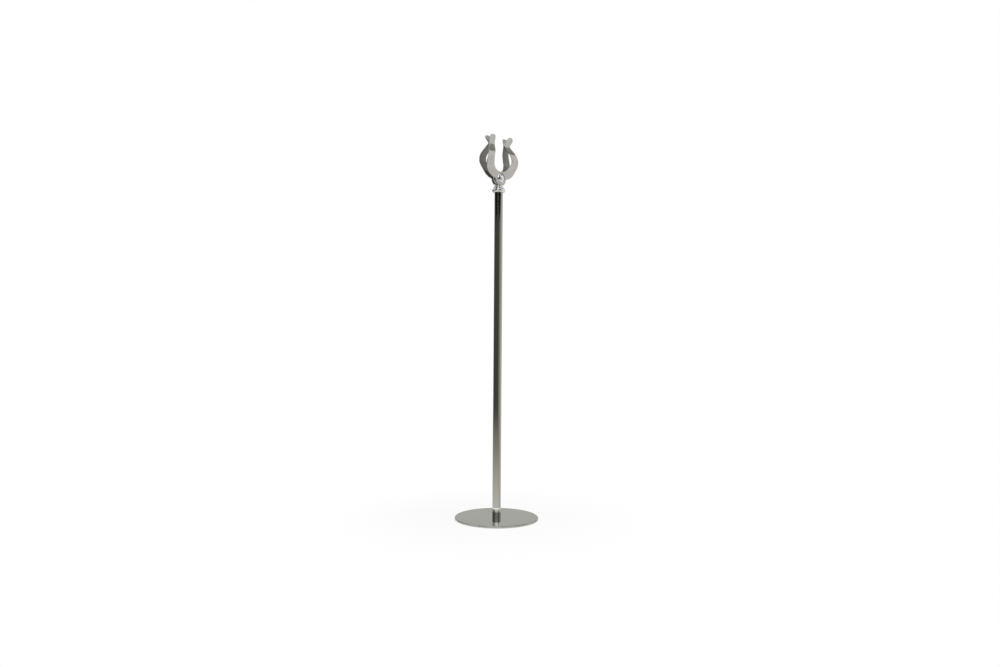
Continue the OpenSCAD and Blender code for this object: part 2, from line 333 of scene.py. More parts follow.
def grain(tree, scales):
    """Noise whose grain has these sizes in millimetres along X, Y and Z."""
    where = add_node(tree, "ShaderNodeTexCoord")
    stretched = add_node(tree, "ShaderNodeMapping", {
        "Vector": where.outputs["Object"], "Scale": [1000 / mm for mm in scales],
    })
    return add_node(tree, "ShaderNodeTexNoise", {
        "Vector": stretched.outputs["Vector"], "Scale": 1, "Detail": 3, "Roughness": 0.6,
    }).outputs["Fac"]


def turning_lines(tree, pitch_mm):
    """Noise in rings round the axis on which a piece is turned, with this pitch."""
    x, y, z = spot_parts(tree)
    flat = add_node(tree, "ShaderNodeCombineXYZ", {"X": x, "Y": y})
    reach = add_node(tree, "ShaderNodeVectorMath", {0: flat.outputs["Vector"]}, operation="LENGTH")
    both = add_node(tree, "ShaderNodeMath", {0: reach.outputs["Value"], 1: z}, operation="ADD")
    return add_node(tree, "ShaderNodeTexNoise", {
        "W": both.outputs["Value"], "Scale": 1000 / pitch_mm, "Detail": 2,
    }, noise_dimensions="1D").outputs["Fac"]


def empty_material(name):
    """A material and its node tree, without a node in it yet."""
    material = bpy.data.materials.new(name)
    material.use_nodes = True
    material.node_tree.nodes.clear()
    return material, material.node_tree


def with_painted_reflections(tree, tint, painted_reflections):
    """The tint, with painted reflections of the foot in the lowest stretch above the table."""
    height = spot_parts(tree)["Z"]
    low = add_node(tree, "ShaderNodeMapRange", {"Value": height, "From Max": PAINTED_REFLECTIONS_H})
    painted_band = add_node(tree, "ShaderNodeValToRGB", {"Fac": low.outputs["Result"]}, painted_reflections)
    above = add_node(tree, "ShaderNodeMath", {0: height, 1: PAINTED_REFLECTIONS_H}, operation="GREATER_THAN")
    return add_node(tree, "ShaderNodeMix", {
        "Factor": above.outputs["Value"], "A": painted_band.outputs["Color"], "B": tint,
    }, data_type="RGBA").outputs["Result"]


def metal(name, base, noise, fine, relief, rough, depth_mm, tone, painted_reflections=None):
    """A metal: fine noise sets the roughness and a faint tone, coarser noise a shallow relief."""
    material, tree = empty_material(name)
    even = add_node(tree, "ShaderNodeMapRange", {
        "Value": noise(tree, fine), "From Min": NOISE_LOW, "From Max": NOISE_HIGH,
    }).outputs["Result"]
    dull = add_node(tree, "ShaderNodeMapRange", {
        "Value": even, "To Min": rough[0], "To Max": rough[1],
    })
    tint = add_node(tree, "ShaderNodeMix", {
        "Factor": even, "A": (*[c * (1 - tone) for c in base], 1), "B": (*base, 1),
    }, data_type="RGBA").outputs["Result"]
    tint = with_painted_reflections(tree, tint, painted_reflections) if painted_reflections else tint
    bump = add_node(tree, "ShaderNodeBump", {
        "Height": noise(tree, relief), "Strength": 1, "Distance": depth_mm / 1000,
    })
    shader = add_node(tree, "ShaderNodeBsdfPrincipled", {
        "Base Color": tint, "Metallic": 1, "Roughness": dull.outputs["Result"],
        "Normal": bump.outputs["Normal"],
    })
    add_node(tree, "ShaderNodeOutputMaterial", {"Surface": shader.outputs["BSDF"]})
    return material


def foot_steel(base):
    # Stainless sheet, blanked and mirror polished on a wheel: a clear, slightly grey mirror with
    # faint clouds where the wheel has cut more or less.
    return metal(
        "stainless_sheet_mirror_polished", base, grain, fine=(2.2, 5, 5), relief=(14, 14, 14),
        rough=(0.05, 0.09), depth_mm=0.004, tone=0.14,
    )


def pole_steel(base):
    # Drawn stainless tube, buffed round: long clear reflections that waver a little up the pole.
    # Near the foot its colour holds painted reflections: a bright ring for the foot's bright rim, above
    # a dark band for the foot's top.
    return metal(
        "stainless_tube_buffed", base, grain, fine=(3, 3, 0.25), relief=(9, 9, 30),
        rough=(0.06, 0.12), depth_mm=0.004, tone=0.06, painted_reflections=(
            (0, "#8a8a85"), (0.56, "#8a8a85"), (0.70, "#f0f0ec"), (0.94, "#f0f0ec"), (1, "#b8b8b3"),
        ),
    )


def strip_steel(finish, base, rough, depth_mm, tone):
    """Stainless spring strip, with lines that run along it, up the prongs."""
    return metal(
        "stainless_spring_strip_" + finish, base, grain, fine=(1.1, 2, 16), relief=(2.5, 5, 14),
        rough=rough, depth_mm=depth_mm, tone=tone,
    )


def spring_steel(base):
    # The strip as buffed after bending: soft reflections, streaked along the rolling. The real
    # streaks are finer and would not show.
    return strip_steel("buffed", base, rough=(0.12, 0.2), depth_mm=0.005, tone=0.26)


def rolled_steel_painted_shade(base):
    # The strip where the buffing wheel can't reach, between the plates: still dull from the rolling
    # mill, and its colour darkened as painted shade for the shade between the plates.
    return strip_steel("as_rolled_painted_shade", base, rough=(0.42, 0.52), depth_mm=0.003, tone=0.14)


def mouth_steel_painted_light(base):
    # The same dull strip inside the mouths, where each card slides in, with its colour lightened as
    # painted light where the mouths open to the light.
    return strip_steel("mouth_painted_light", base, rough=(0.42, 0.52), depth_mm=0.003, tone=0.14)


def turned_chrome(base):
    # Turned brass with bright chrome plating: hard black and white reflections.
    return metal(
        "brass_turned_chrome_plated", base, turning_lines, fine=0.2, relief=1.5,
        rough=(0.02, 0.04), depth_mm=0.0005, tone=0.02,
    )


def turned_brass(base):
    # Bar brass turned on a lathe, left as cut: the tool's rings spread the light.
    return metal(
        "brass_bar_turned", base, turning_lines, fine=0.15, relief=0.3, rough=(0.22, 0.34),
        depth_mm=0.003, tone=0.08,
    )


def plated_zinc(base):
    # Cold headed steel screw with zinc plating: a grainy, bluish half shine.
    return metal(
        "steel_screw_zinc_plated", base, grain, fine=(0.12, 0.12, 0.12), relief=(0.4, 0.4, 0.4),
        rough=(0.28, 0.42), depth_mm=0.004, tone=0.12,
    )


class STAND_OT_foot(bpy.types.Operator):
    """The round foot of mirror polished sheet steel"""

    bl_idname = "stand.foot"
    bl_label = "Foot"

    def execute(self, context):
        s = settings()
        z = s.sizes
        cone_r = z.screw_head_r + z.screw_sink
        edge = z.edge_r
        steps = soft_corner([
            (z.base_d / 2 - z.base_low_r - cone_r, 0),
            (z.base_low_r, math.pi / 2),
            (z.base_t - z.base_low_r - z.base_top_r, 0),
            (z.base_top_r, math.pi / 2),
            (z.base_d / 2 - z.base_top_r - z.bore_r, 0),
            (0, math.pi / 2),
            (z.base_t - (cone_r - z.bore_r), 0),
            (0, math.pi / 4),
            ((cone_r - z.bore_r) * math.sqrt(2), 0),
            (0, math.pi / 4),
        ], edge)
        start = (cone_r + edge * math.tan(math.pi / 8), 0, 0)
        outline = walk(start, steps, ARC_STEP, straight_step=0.004)[:-1]
        piece = turned("foot_disc", outline, closed=True)
        finish_piece(piece, "base_disc", "polished_steel", foot_steel(s.finishes.steel))
        return {"FINISHED"}


class STAND_OT_pole(bpy.types.Operator):
    """The slim polished tube"""

    bl_idname = "stand.pole"
    bl_label = "Pole"

    def execute(self, context):
        s = settings()
        z = s.sizes
        long_l = levels(s)["pole_top"] - z.base_t
        steps = soft_corner([
            (z.pole_wall, 0), (0, math.pi / 2), (long_l, 0), (0, math.pi / 2),
            (z.pole_wall, 0), (0, math.pi / 2), (long_l, 0), (0, math.pi / 2),
        ], z.edge_r)
        start = (z.pole_d / 2 - z.pole_wall + z.edge_r, z.base_t, 0)
        outline = walk(start, steps, arc_step=math.radians(15), straight_step=0.02)[:-1]
        piece = turned("pole_tube", outline, closed=True)
        finish_piece(piece, "pole", "polished_steel", pole_steel(s.finishes.steel))
        return {"FINISHED"}


def nick(a, a_r, b, b_r):
    """Two round edged rings meet in a nick, at these angles seen from their centres."""
    apart, lean = math.dist(a, b), math.atan2(b[1] - a[1], b[0] - a[0])
    return (
        lean - math.acos((apart ** 2 + a_r ** 2 - b_r ** 2) / (2 * apart * a_r)),
        lean - math.pi + math.acos((apart ** 2 + b_r ** 2 - a_r ** 2) / (2 * apart * b_r)),
    )


class STAND_OT_collar(bpy.types.Operator):
    """The turned collar between the pole and the clip"""

    bl_idname = "stand.collar"
    bl_label = "Collar"

    def execute(self, context):
        s = settings()
        c, z = s.collar, s.sizes
        socket_r = z.pole_d / 2 + c.socket_clear
        rim = (c.rim_d / 2 - c.rim_r, c.rim_r)
        bead = (c.bead_d / 2 - c.bead_r, c.height - c.bead_r)
        ring = (c.ring_d / 2 - c.ring_r, (rim[1] + bead[1]) / 2)
        low = nick(rim, c.rim_r, ring, c.ring_r)
        quarter = math.pi / 2
        # The middle ring ends in a narrow flat where the bead's edge stands on it
        flat_z = ring[1] + c.ring_r - bead[1]
        bead_low = math.asin(flat_z / c.bead_r)
        ledge = ring[0] - bead[0] - math.sqrt(c.bead_r ** 2 - flat_z ** 2)
        steps = soft_corner([
            (rim[0] - socket_r, 0),
            (c.rim_r, low[0] + quarter),
            (0, low[1] - low[0]),
            (c.ring_r, quarter - low[1]),
            (ledge, 0),
            (0, bead_low - quarter),
            (c.bead_r, quarter - bead_low),
            (bead[0] - z.bore_r, 0),
            (0, quarter),
            (c.height - c.socket_h, 0),
            (0, quarter),
            (socket_r - z.bore_r, 0),
            (0, -quarter),
            (c.socket_h, 0),
            (0, quarter),
        ], z.edge_r)
        start = (socket_r + z.edge_r, levels(s)["collar_z"], 0)
        outline = walk(start, steps, ARC_STEP, straight_step=0.002)[:-1]
        piece = turned("turned_collar", outline, closed=True)
        finish_piece(piece, "collar", "chrome_finial", turned_chrome(s.finishes.chrome))
        return {"FINISHED"}


class STAND_OT_ball(bpy.types.Operator):
    """The ball with its foot and its stud, turned in one piece"""

    bl_idname = "stand.ball"
    bl_label = "Ball and stud"

    def execute(self, context):
        s = settings()
        b = s.ball
        at = levels(s)
        r, foot_r, quarter = b.diameter / 2, b.foot_d / 2, math.pi / 2
        foot_z = at["clip_z"] + s.clip.sheet_t
        hidden = math.asin(foot_r / r)
        foot_l = at["clip_z"] + at["ball_h"] - r * math.cos(hidden) - foot_z
        steps = soft_corner([
            (b.stud_r - b.chamfer, 0), (0, math.pi / 4), (b.chamfer * math.sqrt(2), 0),
            (0, math.pi / 4), (b.stud_l - b.chamfer, 0), (0, -quarter), (foot_r - b.stud_r, 0),
            (0, quarter), (foot_l, 0), (0, hidden - quarter), (r, math.pi - hidden),
        ], s.sizes.edge_r / 2)
        outline = walk((0, foot_z - b.stud_l, 0), steps, ARC_STEP, straight_step=0.002)
        outline[-1] = (0, at["clip_z"] + at["ball_h"] + r, math.pi)
        piece = turned("ball_and_stud", outline, closed=False)
        finish_piece(piece, "ball_screw", "chrome_finial", turned_chrome(s.finishes.chrome))
        return {"FINISHED"}


def bent_sheet(c, at, foot_r):
    """The middle line of the bent sheet in Y and Z, from the middle of the web to the tips."""
    bend_r = c.bend_r + c.sheet_t / 2
    plate_y = foot_r + bend_r
    bulge_y, neck_y = (c.bulge_gap + c.sheet_t) / 2, (c.neck_gap + c.sheet_t) / 2
    spread_l = (
        bulge_y - plate_y - (c.hip_r + c.bulge_r) * (1 - math.cos(c.spread_a))
    ) / math.sin(c.spread_a)
    close_l = (
        bulge_y - neck_y - (c.bulge_r + c.fold_r) * (1 - math.cos(c.close_a))
    ) / math.sin(c.close_a)
    above = (
        c.hip_r * math.sin(c.spread_a) + spread_l * math.cos(c.spread_a)
        + c.bulge_r * (math.sin(c.spread_a) + math.sin(c.close_a))
        + close_l * math.cos(c.close_a) + c.fold_r * math.sin(c.close_a)
    )
    leg_l = at["neck_h"] - c.sheet_t / 2 - bend_r - above
    mouth_l = (c.mouth_h - c.fold_r * math.sin(c.mouth_a)) / math.cos(c.mouth_a)
    return (0, c.sheet_t / 2, 0), [
        (foot_r, 0),
        (bend_r, math.pi / 2),
        (leg_l, 0),
        (c.hip_r, -c.spread_a),
        (spread_l, 0),
        (c.bulge_r, c.spread_a + c.close_a),
        (close_l, 0),
        (c.fold_r, -(c.close_a + c.mouth_a)),
        (mouth_l, 0),
    ]


def arm_outline(c, at):
    """The right half of a plate's outline in X and Z, from the foot round the prong into the slot."""
    leg_a = math.acos(1 - (c.leg_w - c.web_l) / 2 / (c.leg_low_r + c.leg_r))
    foot_a = math.acos(1 - (c.body_w - c.leg_w) / 2 / (c.foot_r + c.body_r))
    web_h = c.sheet_t + c.bend_r
    wide_h = (
        web_h + (c.leg_low_r + c.leg_r) * math.sin(leg_a) + c.leg_flat
        + (c.foot_r + c.body_r) * math.sin(foot_a)
    )
    neck_h, slot_r = at["neck_h"], at["slot_r"]
    outer_l = (neck_h - wide_h - (c.body_r + c.neck_r) * math.sin(c.outer_a)) / math.cos(c.outer_a)
    neck_x = (
        c.body_w / 2 - (c.body_r + c.neck_r) * (1 - math.cos(c.outer_a))
        - outer_l * math.sin(c.outer_a) - c.neck_arm_w
    )
    arcs_x = neck_x + c.neck_r - c.slot_flat
    arcs_d = math.hypot(arcs_x, c.neck_rise)
    inner_a = math.asin((slot_r + c.neck_r) / arcs_d) - math.atan(arcs_x / c.neck_rise)
    inner_l = math.sqrt(arcs_d ** 2 - (slot_r + c.neck_r) ** 2)
    out_a, in_a = c.outer_mouth_a, c.inner_mouth_a
    outer_mouth_l = (
        c.mouth_h - c.neck_r * math.sin(out_a) - c.tip_r * (1 + math.sin(out_a))
    ) / math.cos(out_a)
    inner_mouth_l = (
        c.mouth_h - c.neck_r * math.sin(in_a) - c.tip_r * (1 - math.sin(in_a))
    ) / math.cos(in_a)
    tip_w = (
        c.neck_arm_w + c.neck_r * (math.cos(in_a) - math.cos(out_a))
        + outer_mouth_l * math.sin(out_a) - inner_mouth_l * math.sin(in_a)
        - c.tip_r * (math.cos(out_a) + math.cos(in_a))
    )
    quarter = math.pi / 2
    return (c.web_l / 2, 0, quarter), [
        (web_h, 0),
        (c.leg_low_r, -leg_a),
        (c.leg_r, leg_a),
        (c.leg_flat, 0),
        (c.foot_r, -foot_a),
        (c.body_r, foot_a + c.outer_a),
        (outer_l, 0),
        (c.neck_r, -(c.outer_a + out_a)),
        (outer_mouth_l, 0),
        (c.tip_r, quarter + out_a),
        (tip_w, 0),
        (c.tip_r, quarter - in_a),
        (inner_mouth_l, 0),
        (c.neck_r, inner_a + in_a),
        (inner_l, 0),
        (slot_r, -(quarter + inner_a)),
        (c.slot_flat, 0),
    ]


def bend_rows(bends):
    """Lengths along the sheet at which its faces are split, so that each bend stays smooth."""
    rows = [0.0]
    for step in bends:
        n = max(1, math.ceil(max(step_length(step) / SHEET_STEP, abs(step[1]) / BEND_STEP)))
        rows += [rows[-1] + step_length(step) / n * (k + 1) for k in range(n)]
    return rows


def split_on(rows, line):
    """The line with a point more wherever it crosses a row, unless one of its own is very close."""
    least = 0.0001
    out = [line[0]]
    for (x0, y0), (x1, y1) in zip(line, line[1:]):
        cuts = [(y - y0) / (y1 - y0) for y in rows if min(y0, y1) < y < max(y0, y1)]
        gap = least / math.dist((x0, y0), (x1, y1))
        out += [(x0 + (x1 - x0) * q, y0 + (y1 - y0) * q) for q in sorted(cuts) if gap < q < 1 - gap]
        out.append((x1, y1))
    return out


def flat_blank(c, at, start, bends):
    """The unbent blank as loops of points (across, along): its outline and its three holes."""
    fine_turn, fine_step = math.radians(0.5), 0.0001
    samples = walk(start, bends, fine_turn, fine_step)
    heights = np.array([p[1] for p in samples])
    alongs = np.concatenate([[0], np.cumsum([
        math.dist(a[:2], b[:2]) for a, b in zip(samples, samples[1:])
    ])])
    first = int(np.argmax(heights > c.sheet_t / 2 + 1e-9))
    rise, run = heights[first - 1:], alongs[first - 1:]

    def along(z):
        # A prong's end is cut square to the sheet, so its middle lies a little lower than its tip
        lean = c.sheet_t / 2 * math.sin(c.mouth_a) * max(0, (z - at["neck_h"]) / c.mouth_h)
        return float(np.interp(z - lean, rise, run))

    quarter = [
        (x, along(z))
        for x, z, h in walk(*arm_outline(c, at), ARC_STEP, RIM_STEP) if z > c.sheet_t / 2
    ]
    quarter = [(quarter[0][0], 0.0), (quarter[0][0], run[0])] + quarter
    quarter[-1] = (0.0, quarter[-1][1])
    quarter = split_on(bend_rows(bends), quarter)
    near = quarter + [(-x, y) for x, y in reversed(quarter[:-1])]
    far = [(-x, -y) for x, y in near]
    turns = np.linspace(0, 2 * math.pi, HOLE_POINTS, endpoint=False)
    window_y = along(at["ball_h"])
    holes = [
        [(r * math.cos(a), y - r * math.sin(a)) for a in turns]
        for y, r in (
            (window_y, at["window_r"]), (-window_y, at["window_r"]), (0, settings().sizes.bore_r)
        )
    ]
    return [near[:-1] + far[:-1], *holes]


def inside(points, loop):
    """Which of the points lie inside the loop."""
    loop = np.array(loop)
    nxt = np.roll(loop, -1, axis=0)
    found = np.zeros(len(points), bool)
    for (x0, y0), (x1, y1) in zip(loop, nxt):
        if y0 == y1:
            continue
        crossing = (y0 > points[:, 1]) != (y1 > points[:, 1])
        found ^= crossing & (points[:, 0] < (x1 - x0) * (points[:, 1] - y0) / (y1 - y0) + x0)
    return found


def clear_of(points, loop, gap):
    """Which of the points lie further than the gap from every corner of the loop."""
    loop = np.array(loop)
    near = np.full(len(points), np.inf)
    for corner in loop:
        near = np.minimum(near, np.hypot(*(points - corner).T))
    return near > gap


def on_metal(points, loops):
    """Which of the points lie inside the outline, which is the first loop, and outside the holes."""
    found = inside(points, loops[0])
    for hole in loops[1:]:
        found &= ~inside(points, hole)
    return found


def edge_normals(loop):
    """Directions out of the metal at each point of a loop that runs with the metal on its left."""
    p = np.array(loop)
    run = np.roll(p, -1, axis=0) - np.roll(p, 1, axis=0)
    run /= np.linalg.norm(run, axis=1)[:, None]
    return np.stack([run[:, 1], -run[:, 0]], axis=1)


def staggered_points(rows, width, loops):
    """Points in staggered rows on the blank, clear of its outline and holes."""
    across = np.arange(-width / 2, width / 2, SHEET_STEP)
    points = np.array([
        (x + (SHEET_STEP / 2 if k % 2 else 0), y) for k, y in enumerate(rows) for x in across
    ])
    points = points[on_metal(points, loops)]
    for loop in loops:
        points = points[clear_of(points, loop, RIM_CLEAR)]
    return points


def split_blank(loops, field):
    """The blank's points, its triangles, and its loops as numbers of points."""
    flat, sides, firsts = [], [], []
    for loop in loops:
        first, count = len(flat), len(loop)
        firsts.append(first)
        flat += [Vector(p) for p in loop]
        sides += [(first + k, first + (k + 1) % count) for k in range(count)]
    flat += [Vector(p) for p in field]
    corners, _, triangles, origins, _, _ = delaunay_2d_cdt(flat, sides, [], 0, SAME_SPOT)
    number = {old: new for new, olds in enumerate(origins) for old in olds}
    rims = [[number[first + k] for k in range(len(loop))] for first, loop in zip(firsts, loops)]
    spots = np.array([tuple(v) for v in corners])
    middles = np.array([spots[list(t)].mean(axis=0) for t in triangles])
    kept = [t for t, use in zip(triangles, on_metal(middles, loops)) if use]
    return spots, kept, rims


def rounded_rim(bent, loop, outward, edge, half):
    """Rings of points and normals that round the sheet's edge from its outer to its inner face."""
    profile = [(math.radians(a), half) for a in (67.5, 45, 22.5, 0)]
    profile += [(math.radians(-a), -half) for a in (0, 22.5, 45, 67.5)]
    for a, face in profile:
        reach = edge * (math.cos(a) - 1)
        off = face - math.copysign(edge, face) + edge * math.sin(a)
        points, normals = [], []
        for (x, y), (nx, ny) in zip(loop, outward):
            point, out, up = bent(x + nx * reach, y + ny * reach, off)
            points.append(point)
            normals.append(tuple(
                math.cos(a) * (nx * e + ny * u) + math.sin(a) * o
                for e, u, o in zip((1, 0, 0), up, out)
            ))
        yield points, normals


class STAND_OT_clip(bpy.types.Operator):
    """The spring clip: one flat blank with holes, bent into two bulged plates"""

    bl_idname = "stand.clip"
    bl_label = "Spring clip"

    def execute(self, context):
        s = settings()
        c, at = s.clip, levels(s)
        start, bends = bent_sheet(c, at, s.ball.foot_d / 2)
        edge, half = s.sizes.edge_r, c.sheet_t / 2
        loops = flat_blank(c, at, start, bends)
        outward = [edge_normals(loop) for loop in loops]
        inset = [np.array(loop) - edge * out for loop, out in zip(loops, outward)]
        rows = sorted({y for row in bend_rows(bends) for y in (row, -row)})
        spots, triangles, rims = split_blank(inset, staggered_points(rows, c.body_w, inset))

        def bent(x, y, off):
            """Where a spot of the blank lies once bent, and its directions outward and up."""
            side = -1 if y < 0 else 1
            py, pz, h = place(start, bends, abs(y))
            ny, nz = math.sin(h), -math.cos(h)
            point = (x, side * (py + off * ny), at["clip_z"] + pz + off * nz)
            return point, (0, side * ny, nz), (0, math.cos(h), side * math.sin(h))

        points, normals, faces, finishes = [], [], [], []
        for off in (half, -half):
            for x, y in spots:
                point, out, _ = bent(x, y, off)
                points.append(point)
                normals.append(out if off > 0 else tuple(-q for q in out))
        n = len(spots)
        # The insides stay dull, darkened with painted shade between the plates, and above the neck
        # lightened with painted light
        neck_y = sum(step_length(step) for step in bends[:-2])
        for t in triangles:
            a, b, d = (Vector(points[k]) for k in t)
            faces_out = (b - a).cross(d - a).dot(Vector(normals[t[0]])) > 0
            front = tuple(t) if faces_out else tuple(reversed(t))
            faces += [front, tuple(k + n for k in reversed(front))]
            in_mouth = abs(spots[list(t)].mean(axis=0)[1]) > neck_y
            finishes += [0, 2 if in_mouth else 1]
        for loop, outs, rim in zip(loops, outward, rims):
            rings = [rim]
            for ring, ring_normals in rounded_rim(bent, loop, outs, edge, half):
                rings.append(range(len(points), len(points) + len(ring)))
                points += ring
                normals += ring_normals
            rings.append([k + n for k in rim])
            for low, high in zip(rings, rings[1:]):
                for k in range(len(loop)):
                    j = (k + 1) % len(loop)
                    faces.append((low[k], low[j], high[j], high[k]))
        finishes += [0] * (len(faces) - len(finishes))
        piece = mesh_object("spring_clip", points, normals, faces, finishes)
        f = s.finishes
        finish_piece(
            piece, "clip", "spring_steel", spring_steel(f.spring), rolled_steel_painted_shade(f.rolled_painted_shade),
            mouth_steel_painted_light(f.mouth_painted_light),
        )
        return {"FINISHED"}


class STAND_OT_fasteners(bpy.types.Operator):
    """The base screw and the threaded plugs inside the pole"""

    bl_idname = "stand.fasteners"
    bl_label = "Screw and plugs"

    def execute(self, context):
        f = settings().finishes
        brass, zinc = turned_brass(f.brass), plated_zinc(f.zinc)
        for node, material in (("lower_insert", brass), ("upper_insert", brass), ("base_screw", zinc)):
            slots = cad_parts[node].material_slots
            if not slots:
                raise RuntimeError(node + " has no material slot")
            for slot in slots:
                slot.material = material
        return {"FINISHED"}


# The studio. Directions are seen from the camera's side of the stand: right, away and up.
CAMERA_YAW = math.radians(44)
CAMERA_LEAN = math.radians(0.4)
CAMERA_GAP = 0.975
CAMERA_H = 0.2215
CAMERA_LENS_MM = 29.34
CAMERA_SHIFT = 0.0023
AWAY = Vector((math.sin(CAMERA_YAW), math.cos(CAMERA_YAW), 0))
RIGHT = Vector((math.cos(CAMERA_YAW), -math.sin(CAMERA_YAW), 0))
UP = Vector((0, 0, 1))

FLOOR_R, FLOOR_SIDES, FLOOR_DROP = 6, 64, 0.0001
# Each lamp has its turn and rise in degrees, its distance, its size and its watts
LAMPS = (("softbox_over", 120, 62, 1.6, 1.2, 13), ("fill_left", -105, 40, 1.9, 1.5, 5))
# Each black flag has its turn in degrees and its width. They hang higher than the foot mirrors.
FLAGS = (("flag_left", -127, 0.3), ("flag_right", 153, 0.28))
FLAG_GAP, FLAG_LOW, FLAG_TOP = 0.5, 0.43, 1.8
# How far from the axis the stand's shadow is full and gone, and the white that lies over it there
SHADOW_FULL, SHADOW_GONE, SHADOW_WHITE = 0.05, 0.22, 0.72


def toward(turn, rise):
    """The direction this far to the right of straight away and this far above level, in degrees."""
    t, r = math.radians(turn), math.radians(rise)
    return (AWAY * math.cos(t) + RIGHT * math.sin(t)) * math.cos(r) + UP * math.sin(r)


# The room that the metal mirrors, as rings one above the other. Each has the heights, as the sine of
# the rise, between which it takes over from the ring below, and its tones all round: from behind
# the camera by the camera's left, the far side and the right.
WHITE, LIGHT, CREAM, PALE = "#ffffff", "#ebe8e5", "#e4e2da", "#cdcec8"
HALF, GREY, DARK, DEEP, BLACK = "#adaba2", "#8e8d89", "#565550", "#22211e", "#060606"
# The light that the same room gives to what is matt
PLAIN = "#b4b4b4"
# The far side, the same in all rings but the upper two
FAR = ((0.41, PALE), (0.58, PALE), (0.68, LIGHT), (0.755, LIGHT))
ROOM = (
    (-1, -0.9, ((0, DARK), (0.34, DARK), *FAR, (0.80, HALF), (0.88, HALF), (0.945, DARK))),
    (0.145, 0.160, ((0, DEEP), (0.34, DEEP), *FAR, (0.80, DARK), (0.9, DEEP))),
    (0.190, 0.205, (
        (0, WHITE), (0.085, WHITE), (0.10, GREY), (0.34, GREY), *FAR, (0.80, GREY), (0.87, GREY),
        (0.885, WHITE),
    )),
    (0.235, 0.250, ((0, WHITE), (0.25, WHITE), (0.34, HALF), *FAR, (0.84, WHITE))),
    (0.59, 0.63, (
        (0, WHITE), (0.25, WHITE), (0.34, GREY), (0.41, PALE), (0.58, PALE), (0.66, GREY),
        (0.78, GREY), (0.84, WHITE),
    )),
    (0.950, 0.970, ((0, WHITE),)),
)


def all_round(tree, vector, stops):
    """The colour of a ring of the room in the direction of the vector."""
    across, along = (
        add_node(tree, "ShaderNodeVectorMath", {0: vector, 1: way}, operation="DOT_PRODUCT")
        for way in (RIGHT, AWAY)
    )
    turn = add_node(tree, "ShaderNodeMath", {
        0: across.outputs["Value"], 1: along.outputs["Value"],
    }, operation="ARCTAN2")
    lap = add_node(tree, "ShaderNodeMapRange", {
        "Value": turn.outputs["Value"], "From Min": -math.pi, "From Max": math.pi,
    })
    return add_node(tree, "ShaderNodeValToRGB", {"Fac": lap.outputs["Result"]}, stops).outputs["Color"]


def ray_kinds(tree):
    """Whether a ray comes from the camera, and whether it comes out of metal or glass."""
    path = add_node(tree, "ShaderNodeLightPath")
    shiny = add_node(tree, "ShaderNodeMath", {
        0: path.outputs["Is Glossy Ray"], 1: path.outputs["Is Transmission Ray"],
    }, operation="ADD")
    return path.outputs["Is Camera Ray"], shiny.outputs["Value"]


def paint_world():
    """White to the camera, plain grey light on what is matt, and the room in the metal."""
    world = bpy.data.worlds.new("studio")
    bpy.context.scene.world = world
    world.use_nodes = True
    tree = world.node_tree
    tree.nodes.clear()
    direction = add_node(tree, "ShaderNodeTexCoord").outputs["Generated"]
    height = add_node(tree, "ShaderNodeVectorMath", {0: direction, 1: UP}, operation="DOT_PRODUCT")
    room = WHITE
    for low, high, stops in ROOM:
        above = add_node(tree, "ShaderNodeMapRange", {
            "Value": height.outputs["Value"], "From Min": low, "From Max": high,
        }, interpolation_type="SMOOTHSTEP")
        room = add_node(tree, "ShaderNodeMix", {
            "Factor": above.outputs["Result"], "A": room, "B": all_round(tree, direction, stops),
        }, data_type="RGBA").outputs["Result"]
    from_camera, shiny = ray_kinds(tree)
    unseen = add_node(tree, "ShaderNodeMix", {
        "Factor": shiny, "A": PLAIN, "B": room,
    }, data_type="RGBA")
    seen = add_node(tree, "ShaderNodeMix", {
        "Factor": from_camera, "A": unseen.outputs["Result"], "B": WHITE,
    }, data_type="RGBA")
    back = add_node(tree, "ShaderNodeBackground", {"Color": seen.outputs["Result"]})
    add_node(tree, "ShaderNodeOutputWorld", {"Surface": back.outputs["Background"]})


def mirrored_paper_painted_light(tree, spot, reach):
    """The paper as the metal mirrors it: a painted pool of light round the foot, and painted shade
    further off.

    In the distance and on the right of the far side it has the tones of the room's lowest ring.
    """
    off = add_node(tree, "ShaderNodeMapRange", {"Value": reach, "From Max": 2})
    near = add_node(tree, "ShaderNodeValToRGB", {"Fac": off.outputs["Result"]}, (
        (0, WHITE), (0.10, CREAM), (0.29, HALF), (0.9, DARK),
    ))
    unit = add_node(tree, "ShaderNodeVectorMath", {0: spot}, operation="NORMALIZE")
    facing = add_node(tree, "ShaderNodeVectorMath", {
        0: unit.outputs["Vector"], 1: toward(45, 0),
    }, operation="DOT_PRODUCT")
    side = add_node(tree, "ShaderNodeMapRange", {
        "Value": facing.outputs["Value"], "From Min": 0.1, "From Max": 0.7,
    }, interpolation_type="SMOOTHSTEP")
    distant = add_node(tree, "ShaderNodeMapRange", {
        "Value": reach, "From Min": 0.6, "From Max": 1.6,
    }, interpolation_type="SMOOTHSTEP")
    either = add_node(tree, "ShaderNodeMath", {
        0: side.outputs["Result"], 1: distant.outputs["Result"],
    }, operation="MAXIMUM")
    tint = add_node(tree, "ShaderNodeMix", {
        "Factor": either.outputs["Value"], "A": near.outputs["Color"],
        "B": all_round(tree, spot, ROOM[0][2]),
    }, data_type="RGBA")
    painted_paper_light = add_node(tree, "ShaderNodeEmission", {"Color": tint.outputs["Result"]})
    return painted_paper_light.outputs["Emission"]


